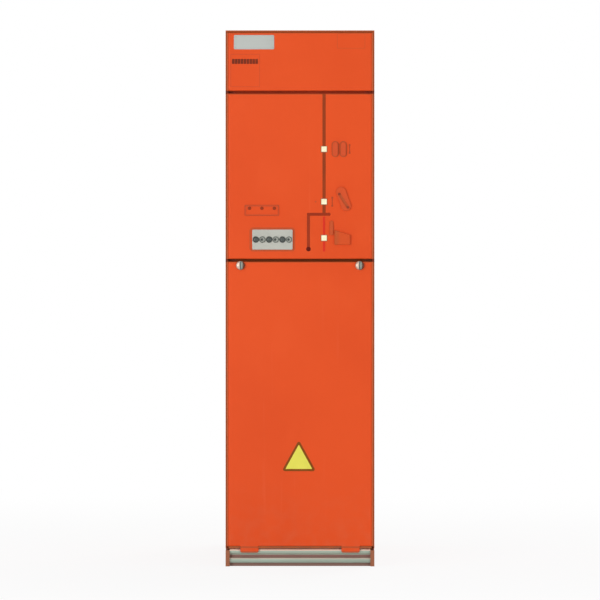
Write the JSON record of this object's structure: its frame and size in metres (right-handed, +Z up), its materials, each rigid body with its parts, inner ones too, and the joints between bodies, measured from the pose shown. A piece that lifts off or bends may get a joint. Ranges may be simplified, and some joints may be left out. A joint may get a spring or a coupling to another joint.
{
  "type": "medium-voltage circuit breaker cubicle",
  "caption": "Floor-standing switchgear cubicle of a permanent magnet circuit breaker with a lift-off cable cover held by quarter-turn knobs.",
  "frame": {"origin": "centre of the footprint on the floor", "axes": "+Z up, +X to the right seen from the front, front towards -Y"},
  "size_m": [0.371, 0.7833, 1.336],
  "materials": {
    "orange_paint": "powder coat, satin",
    "dark_steel": "dark paint, satin",
    "zinc_sheet": "zinc coated sheet",
    "rail_steel": "rolled, satin",
    "tank_steel": "stainless, mill finish",
    "epoxy": "cast resin, gloss",
    "copper": "bare copper",
    "rubber": "matt",
    "knob_metal": "plated",
    "indicator": "gloss",
    "detector_grey": "moulded",
    "socket_black": "moulded"
  },
  "bodies": {
    "housing": {"left_side_panel": "orange_paint", "right_side_panel": "orange_paint", "top_cover": "orange_paint", "lifting_bushes": "zinc_sheet", "header_panel": "orange_paint", "mechanism_panel": "orange_paint", "left_stud_receiver": "knob_metal", "right_stud_receiver": "knob_metal", "upper_cross_rail": "dark_steel", "lower_cross_rail": "dark_steel", "mechanism_floor": "zinc_sheet", "gas_tank": "tank_steel", "left_bushing": "epoxy", "centre_bushing": "epoxy", "right_bushing": "epoxy", "bushing_contacts": "copper", "cable_clamp_rail": "zinc_sheet", "earth_bar": "copper", "earth_standoffs": "zinc_sheet", "compartment_back": "zinc_sheet", "front_floor_plate": "zinc_sheet", "rear_floor_plate": "zinc_sheet", "cable_grommets": "rubber", "base_front_rail": "rail_steel", "base_left_rail": "orange_paint", "base_right_rail": "orange_paint", "base_rear_rail": "orange_paint", "rear_upper_panel": "orange_paint", "rear_lower_panel": "orange_paint", "upper_indicator": "indicator", "middle_indicator": "indicator", "lower_indicator": "indicator", "voltage_detector": "detector_grey", "detector_lamps": "socket_black", "detector_ports": "detector_grey", "lamp_strip": "orange_paint", "push_buttons": "orange_paint", "switch_escutcheon": "orange_paint", "drive_shafts": "dark_steel", "padlock_bracket": "orange_paint", "padlock_hasp": "orange_paint"},
    "cover": {"cable_cover": "orange_paint", "cover_stiffener": "orange_paint"},
    "left_knob_body": {"left_knob": "knob_metal"},
    "right_knob_body": {"right_knob": "knob_metal"}
  },
  "joints": [
    {"name": "cable_cover_tilt", "type": "hinge", "parent": "housing", "child": "cover", "pos_m": [0, -0.37, 0.037], "axis": [1, 0, 0], "range_deg": [0, 20]},
    {"name": "left_knob_turn", "type": "hinge", "parent": "cover", "child": "left_knob_body", "pos_m": [-0.1485, -0.3825, 0.75], "axis": [0, 1, 0], "range_deg": [0, 90]},
    {"name": "right_knob_turn", "type": "hinge", "parent": "cover", "child": "right_knob_body", "pos_m": [0.1485, -0.3825, 0.75], "axis": [0, 1, 0], "range_deg": [0, 90]}
  ]
}
